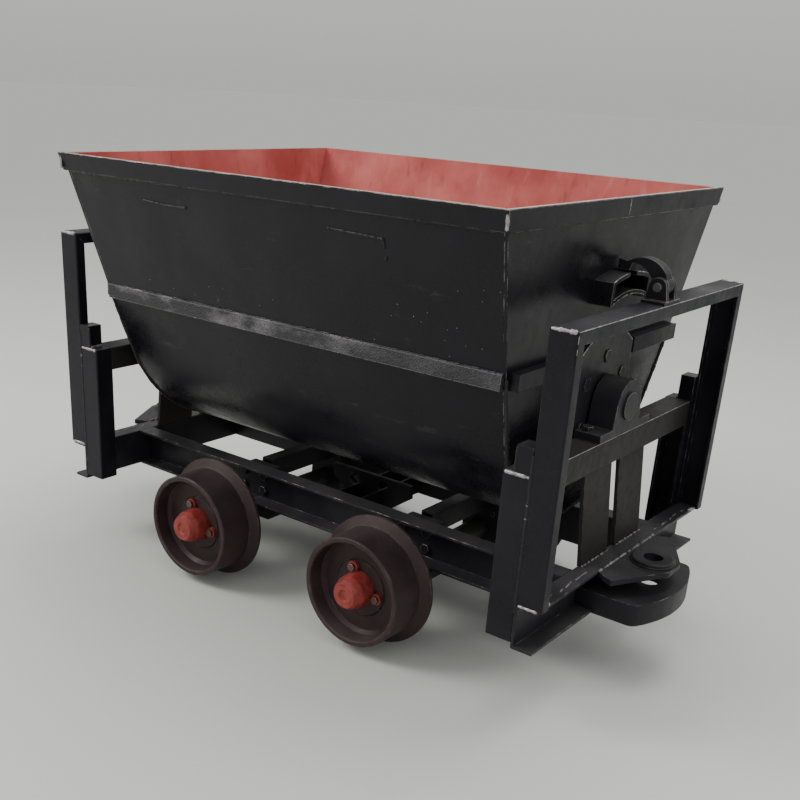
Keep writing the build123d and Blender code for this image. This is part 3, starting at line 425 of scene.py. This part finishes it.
def bead(name, runs, size, body, slot_name, finish=None, sides=7, unevenness=0.16):
    """Weld beads along each run of points, as one piece that rides on a body."""
    verts, faces = [], []
    for run in runs:
        line = walk(run)
        start = len(verts)
        travelled = bead_draw.random() * SCALE_LENGTH
        swell = 1.0
        for index, spot in enumerate(line):
            ahead = (line[min(index + 1, len(line) - 1)] - line[max(index - 1, 0)]).normalized()
            across = ahead.cross(Vector((0.31, 0.17, 0.93))).normalized()
            over = ahead.cross(across)
            phase = (travelled % SCALE_LENGTH) / SCALE_LENGTH
            if phase < BEAD_STEP / SCALE_LENGTH:
                swell = 1.0 + bead_draw.uniform(-unevenness, unevenness)
            ends = 0.35 if index in (0, len(line) - 1) else 1.0
            radius = size * swell * ends * (0.84 + 0.22 * math.sin(math.pi * phase))
            for corner in range(sides):
                angle = math.tau * corner / sides
                verts.append(spot + (across * math.cos(angle) + over * math.sin(angle)) * radius)
            travelled += BEAD_STEP
        for ring in range(len(line) - 1):
            low = start + ring * sides
            for corner in range(sides):
                after = (corner + 1) % sides
                faces.append((low + corner, low + after, low + sides + after, low + sides + corner))
        faces.append([start + corner for corner in reversed(range(sides))])
        faces.append([start + (len(line) - 1) * sides + corner for corner in range(sides)])
    mesh = bpy.data.meshes.new(name)
    mesh.from_pydata(verts, [], faces)
    mesh.polygons.foreach_set("use_smooth", [True] * len(mesh.polygons))
    mesh.materials.append(finish or finishes[slot_name])
    piece = bpy.data.objects.new(name, mesh)
    bpy.context.scene.collection.objects.link(piece)
    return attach(piece, body)


print("a bead step is", BEAD_STEP * 1000, "mm")

# %% [markdown]
# ## Finish for the beads
# Most beads were sprayed with the rest and only glint at the top of their scales. A few were missed and stay
# silver-grey, as on the post caps, and a third kind was half covered and shows grey and brown by turns.

# %% Build the painted and bare bead finishes
painted_bead = black_enamel("painted_weld", (0.016, 0.016, 0.017), (0.22, 0.42), 0.3, 0.0, 0.8, 0.5)
silver_bead = bare_steel("missed_weld", (0.42, 0.40, 0.41), (0.36, 0.56), 0.75)
patchy_bead = bare_steel("half_sprayed_weld", (0.24, 0.23, 0.24), (0.42, 0.62), 1.0)
print("beads:", painted_bead.name, silver_bead.name, patchy_bead.name)

# %% [markdown]
# ## Beads on the bucket
# Each end plate is welded to the bent sheet all round its outline. The outline is read from the end plate
# itself: of its points on the outer face, the farthest from the middle in each direction.

# %% Weld the end plates
def outline_of(node, test, middle, bins=150):
    """Outermost points of a node's face round a middle (y, z), in order; test picks the face's points."""
    best = {}
    for vert in frame["nodes"][node].data.vertices:
        if not test(vert.co):
            continue
        angle = math.atan2(vert.co.z - middle[1], vert.co.y - middle[0])
        key = round(angle / math.tau * bins)
        reach = math.hypot(vert.co.y - middle[0], vert.co.z - middle[1])
        if key not in best or reach > best[key][0]:
            best[key] = (reach, angle, vert.co.copy())
    return [item[2] for item in sorted(best.values(), key=lambda item: item[1])]


end_verts = [vert.co for vert in frame["nodes"]["bucket_end_front"].data.vertices]
top_x = max(co.x for co in end_verts if co.z > RIM_TOP - 1e-4)
low_z = min(co.z for co in end_verts)
low_x = max(co.x for co in end_verts if co.z < low_z + 0.002)
end_slope = (top_x - low_x) / (RIM_TOP - low_z)


def plate_x(z):
    """Outer face of an end plate at height z."""
    return top_x - (RIM_TOP - z) * end_slope


def on_plate(co):
    return abs(abs(co.x) - plate_x(co.z)) < 0.0006


outline_runs = []
ABOVE_RIM = 1.3
band_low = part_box("rim_band")[0].z
for end in ENDS.values():
    ring = outline_of(f"bucket_end_{'front' if end > 0 else 'rear'}", on_plate, (0, 0.8))
    lower = [co for co in ring if co.z < band_low]
    lower.sort(key=lambda co: math.atan2(co.z - ABOVE_RIM, co.y))
    outline_runs.append([(co.x, co.y, co.z) for co in lower])
bead("end_plate_welds", outline_runs, 0.0050, "bucket", "bucket_enamel", painted_bead)
print("outline points", [len(run) for run in outline_runs], "slope", round(end_slope, 4))

# %% [markdown]
# ## Beads along the band and the knee bars
# The rim band is filleted to the side under its lower edge, and its four corners are closed with short
# upright beads. The knee bar has a rough bead in lengths along its top and short stitches along its foot.
# Stitches are picked by a seeded draw: a length, then a gap.

# %% Weld the band and the bars
SIDE_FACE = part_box("rim_band")[1].y
BAND_THICK = 0.008
CORNER_INSET = 0.006


def along_x(spots, y, z):
    """Straight runs along the track, one for each start and stop."""
    return [[(start, y, z), (stop, y, z)] for start, stop in spots]


def along_y(spots, x, z):
    """Straight runs across the track, one for each start and stop."""
    return [[(x, start, z), (x, stop, z)] for start, stop in spots]


def stitches(start, stop, lengths, gaps):
    """Start and stop of short dashes between two positions."""
    out, spot = [], start
    while spot < stop:
        reach = min(stop, spot + bead_draw.uniform(*lengths))
        out.append((spot, reach))
        spot = reach + bead_draw.uniform(*gaps)
    return out


band_y = SIDE_FACE - BAND_THICK
band_x = plate_x(band_low)
rib_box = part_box("side_ribs")
rib_y, rib_foot, rib_head = rib_box[1].y, rib_box[0].z, rib_box[1].z
rib_end = rib_box[1].x - 0.012
under_band, corners, bar_heads, bar_feet = [], [], [], []
for side in SIDES.values():
    under_band += along_x([(-band_x + 0.02, band_x - 0.02)], side * (band_y - 0.012), band_low)
    bar_heads += along_x(stitches(-rib_end, rib_end, (0.05, 0.22), (0.0, 0.03)),
                         side * (rib_y - 0.007), rib_head - 0.002)
    bar_feet += along_x(stitches(-rib_end, rib_end * 0.55, (0.012, 0.06), (0.012, 0.07)),
                        side * (rib_y - 0.0022), rib_foot + 0.001)
    for end in ENDS.values():
        corner_x = end * (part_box("rim_band")[1].x - CORNER_INSET)
        corner_y = side * (SIDE_FACE - CORNER_INSET)
        corners.append([(corner_x, corner_y, band_low + 0.004), (corner_x, corner_y, RIM_TOP - 0.004)])
bead("under_band_weld", under_band, 0.0042, "bucket", "rim_enamel", painted_bead)
bead("band_corner_welds", corners, 0.0040, "bucket", "rim_enamel", silver_bead)
bead("bar_head_welds", bar_heads, 0.0044, "bucket", "rib_metal", painted_bead, unevenness=0.3)
bead("bar_foot_stitches", bar_feet, 0.0019, "bucket", "rib_metal", silver_bead, unevenness=0.3)
seam_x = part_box("rim_band")[1].x
butt_seam = [(seam_x - 0.001, -0.014, RIM_TOP - 0.004), (seam_x - 0.0045, -0.009, band_low + 0.003)]
bead("band_butt_seam", [butt_seam], 0.0022, "bucket", "rim_enamel", silver_bead)
print("bar stitches", len(bar_feet), "bar head runs", len(bar_heads))

# %% [markdown]
# ## Scars on the sheet
# Brackets were once tacked to the side and knocked off again. They left a raised L of weld, a short stroke,
# a drop that ran, and a handful of spatter balls near the bar and the portal.

# %% Add weld scars and spatter to the bucket's sides
def side_y(z):
    """Outer face of the side wall above the knee."""
    top_y, knee_y, knee_z = band_y, rib_y - 0.009, 0.800
    return knee_y + (z - knee_z) * (top_y - knee_y) / (RIM_TOP - knee_z)


def on_side(side, x, z):
    """A point on the face of one long side."""
    return (x, side * side_y(z), z)


RIGHT = SIDES["right"]
scars = [
    [on_side(RIGHT, 0.215, 1.072), on_side(RIGHT, 0.290, 1.069), on_side(RIGHT, 0.372, 1.066),
     on_side(RIGHT, 0.374, 1.045)],
    [on_side(RIGHT, 0.373, 1.028), on_side(RIGHT, 0.374, 1.019)],
    [on_side(RIGHT, -0.405, 1.069), on_side(RIGHT, -0.320, 1.064), on_side(RIGHT, -0.243, 1.065)],
]
bead("side_scars", scars, 0.0030, "bucket", "bucket_enamel", painted_bead, unevenness=0.35)
balls = []
for count, mid_x, mid_z, spread in ((5, 0.40, 0.905, 0.10), (5, 0.55, 0.872, 0.08), (7, 0.10, 0.840, 0.45),
                                    (4, -0.35, 0.850, 0.20), (4, 0.62, 0.980, 0.07)):
    for _ in range(count):
        x, z = mid_x + bead_draw.uniform(-spread, spread), mid_z + bead_draw.uniform(-0.02, 0.03)
        balls.append([on_side(RIGHT, x, z), on_side(RIGHT, x + 0.002, z)])
bead("side_spatter", balls, 0.0021, "bucket", "bucket_enamel", silver_bead, sides=6)
print("scars", len(scars), "spatter", len(balls))

# %% [markdown]
# ## Beads on the portals and posts
# Each end has the same joints, mirrored: the mitre at the portal's corners, its feet on the cross beam, the
# caps of the inner posts and the blocks that stand on them, the upright seam between the two posts, the
# shelf's front edge and the feet of the two legs. The ones that were missed by the spray are silver. Thin
# silver lines on the portal's front edges and the shelf's front edge are bare knocks and also painted
# highlights.

# %% Weld the portals, posts, blocks, shelf and legs
top_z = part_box("portal_top_front")[1].z
post_low, post_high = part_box("portal_post_front_left")
inner_low, inner_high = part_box("inner_post_front_left")
block_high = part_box("stop_blocks")[1]
leg_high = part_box("shelf_legs")[1]
back_x, nose_x, out_y = post_low.x, post_high.x, post_high.y
cap_z, beam_top = inner_high.z, post_low.z
BLOCK_LENGTH, BLOCK_WIDTH, LEG_INNER_Y = 0.040, 0.045, 0.0225
block_foot_x, block_in_y = back_x - BLOCK_LENGTH, block_high.y - BLOCK_WIDTH
FOOT_END_X = 0.822
skin, leg_foot_x, leg_foot_z = out_y - 0.002, leg_high.x + 0.002, beam_top + 0.0015
corner_x, corner_y = nose_x - 0.001, out_y - 0.003
bright, dull, lines, rough = [], [], [], []
for end in ENDS.values():
    for side in SIDES.values():
        def at(x, y, z):
            return (end * x, side * y, z)

        bright += [
            [at(back_x + 0.003, skin, top_z - 0.002), at(nose_x - 0.003, skin, top_z - 0.002)],
            [at(inner_low.x + 0.003, skin, cap_z - 0.002), at(back_x - 0.002, skin, cap_z - 0.002)],
            [at(block_foot_x, out_y - 0.004, cap_z + 0.003), at(block_foot_x, block_in_y, cap_z + 0.003)],
            [at(back_x + 0.006, out_y - 0.001, beam_top + 0.001),
             at(FOOT_END_X, out_y - 0.001, beam_top + 0.001)],
            [at(nose_x - 0.010, out_y - 0.030, beam_top + 0.002),
             at(nose_x - 0.016, out_y - 0.062, beam_top + 0.002)],
        ]
        rough += [[at(back_x, out_y - 0.001, low), at(back_x - 0.001, out_y - 0.001, high)]
                  for low, high in stitches(cap_z - 0.10, cap_z - 0.01, (0.004, 0.020), (0.004, 0.030))]
        dull += [
            [at(back_x, skin, beam_top - 0.02), at(back_x, skin, cap_z + 0.05)],
            [at(block_foot_x, skin, cap_z + 0.004), at(block_foot_x, skin, block_high.z - 0.004)],
        ]
        # Thin silver lines on the portal's front corners, its front top edge and the shelf's front edge: bare
        # knocks and also painted highlights on those edges.
        lines.append([at(corner_x, corner_y, top_z - 0.05), at(corner_x, corner_y, top_z - 0.004)])
        rough += [[at(leg_foot_x, low, leg_foot_z), at(leg_foot_x + 0.001, high, leg_foot_z)]
                  for low, high in stitches(LEG_INNER_Y, leg_high.y, (0.008, 0.03), (0.0, 0.006))]
    lines += along_y([(-out_y + 0.004, out_y - 0.004)], end * (nose_x - 0.001), top_z - 0.0012)
    lines += along_y([(-inner_low.y, inner_low.y)], end * (back_x - 0.001), cap_z - 0.0008)
bead("missed_frame_welds", bright, 0.0046, "frame", "portal_enamel", silver_bead, unevenness=0.3)
bead("half_sprayed_frame_welds", rough, 0.0026, "frame", "portal_enamel", patchy_bead, unevenness=0.6)
bead("painted_frame_welds", dull, 0.0040, "frame", "portal_enamel", painted_bead)
# The thin silver edge lines are part bare knocks, part painted highlights.
bead("knocked_edges_and_highlights", lines, 0.0010, "frame", "portal_enamel", silver_bead, sides=6, unevenness=0.5)
print("frame beads", len(bright), len(rough), len(dull), len(lines))

# %% [markdown]
# ## Beads on the cross beams and couplings
# The cross beams carry rough scraps of bead to both sides of the coupling plate. The plate's root and the
# boss round its pin hole are beaded too.

# %% Weld the coupling plates and the cross beams
beam_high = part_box("cross_beam_front")[1]
PIN_X, BOSS_RADIUS, BOSS_STEPS, PLATE_HALF = 0.890, 0.054, 40, 0.158


def scrap_x():
    """A place on the cross beam's top flange, a little back from its edge."""
    return beam_high.x - 0.012 - bead_draw.uniform(0, 0.012)


root, scraps, rings = [], [], []
scrap_z = beam_high.z - 0.0008
for end in ENDS.values():
    root += along_y(stitches(-PLATE_HALF, PLATE_HALF, (0.006, 0.05), (0.0, 0.008)),
                    end * (beam_high.x + 0.001), beam_high.z + 0.001)
    for low_y, high_y in ((-0.40, -0.18), (0.20, 0.40)):
        scraps += [[(end * scrap_x(), start, scrap_z), (end * scrap_x(), stop, scrap_z)]
                   for start, stop in stitches(low_y, high_y, (0.01, 0.07), (0.0, 0.03))]
    turns = [math.tau * step / BOSS_STEPS for step in range(BOSS_STEPS + 1)]
    rings.append([(end * PIN_X + BOSS_RADIUS * math.cos(turn), BOSS_RADIUS * math.sin(turn),
                   beam_high.z + 0.001) for turn in turns])
bead("coupling_root_welds", root, 0.0036, "frame", "coupling_enamel", patchy_bead, unevenness=0.6)
bead("cross_beam_scraps", scraps, 0.0022, "frame", "beam_enamel", patchy_bead, unevenness=0.6)
bead("boss_welds", rings, 0.0036, "frame", "coupling_enamel", painted_bead)
print("root", len(root), "scraps", len(scraps))

# %% [markdown]
# ## Beads round the trunnions, and painted highlights on the keepers
# The trunnion plate is welded round its dome. The end plate leans, so this bead takes its distance from the
# plate's own slope. Thin silver lines along the front edges of the dome and of the latch keeper are painted
# highlights.

# %% Weld the trunnion plates and paint highlights on the dome and keeper edges
AXIS_Z = 0.680
DOME_FACE = 0.690
plate_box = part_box("trunnion_plate_front")
keeper_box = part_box("latch_keepers")
keeper_front = keeper_box[1].x - 0.0010
DOME_HALF, DOME_RADIUS, DOME_STEPS = 0.135, 0.219, 30
KEEPER_OUTER, KEEPER_INNER, KEEPER_HALF, NOTCH_HALF = 0.3165, 0.2665, 0.098, 0.022
dome_middle = plate_box[1].z - DOME_RADIUS
dome_reach = math.asin(DOME_HALF / DOME_RADIUS)
dome_turns = [dome_reach * (2 * step / DOME_STEPS - 1) for step in range(DOME_STEPS + 1)]
dome = [(DOME_RADIUS * math.sin(turn), dome_middle + DOME_RADIUS * math.cos(turn)) for turn in dome_turns]


def keeper_edge(end, radius, low_y, high_y, steps):
    """Front edge of the keeper, round the tipping axis, between two distances from the middle."""
    spots = [low_y + (high_y - low_y) * step / steps for step in range(steps + 1)]
    return [(end * keeper_front, y, AXIS_Z + math.sqrt(radius ** 2 - y ** 2)) for y in spots]


arcs, glints = [], []
for end in ENDS.values():
    arcs.append([(end * (plate_x(z) + 0.001), y, z) for y, z in dome])
    # Thin silver lines on the dome's and the keeper's front edges are painted highlights where those edges
    # catch the light.
    glints.append([(end * (DOME_FACE - 0.0008), y, z - 0.0006) for y, z in dome])
    glints.append(keeper_edge(end, KEEPER_OUTER, -KEEPER_HALF, -NOTCH_HALF, 12))
    glints.append(keeper_edge(end, KEEPER_OUTER, NOTCH_HALF, KEEPER_HALF, 12))
    glints.append(keeper_edge(end, KEEPER_INNER, -KEEPER_HALF, KEEPER_HALF, 24))
bead("trunnion_plate_welds", arcs, 0.0040, "bucket", "trunnion_enamel", painted_bead)
bead("keeper_and_dome_highlights", glints, 0.0014, "bucket", "keeper_enamel", silver_bead, sides=6, unevenness=0.5)
print("trunnion arcs", len(arcs), "edge runs", len(glints))

# %% [markdown]
# ## The floor
# The cart stands on its wheel flanges on one plain pale floor.

# %% Lay the floor
floor_mesh = bpy.data.meshes.new("pale_floor")
REACH = 80.0
floor_corners = [(-REACH, -REACH, 0), (REACH, -REACH, 0), (REACH, REACH, 0), (-REACH, REACH, 0)]
floor_mesh.from_pydata(floor_corners, [], [(0, 1, 2, 3)])
floor = bpy.data.objects.new("pale_floor", floor_mesh)
floor.location.z = -0.0005
floor_finish, floor_tree, floor_shader = new_finish("pale_floor_finish")
floor_tone = tint(floor_tree, cloud(floor_tree, 1.2, 3.0), *FLOOR_TONES)
floor_tree.links.new(floor_tone, floor_shader.inputs["Base Color"])
floor_shader.inputs["Roughness"].default_value = 0.9
floor_mesh.materials.append(floor_finish)
bpy.context.scene.collection.objects.link(floor)
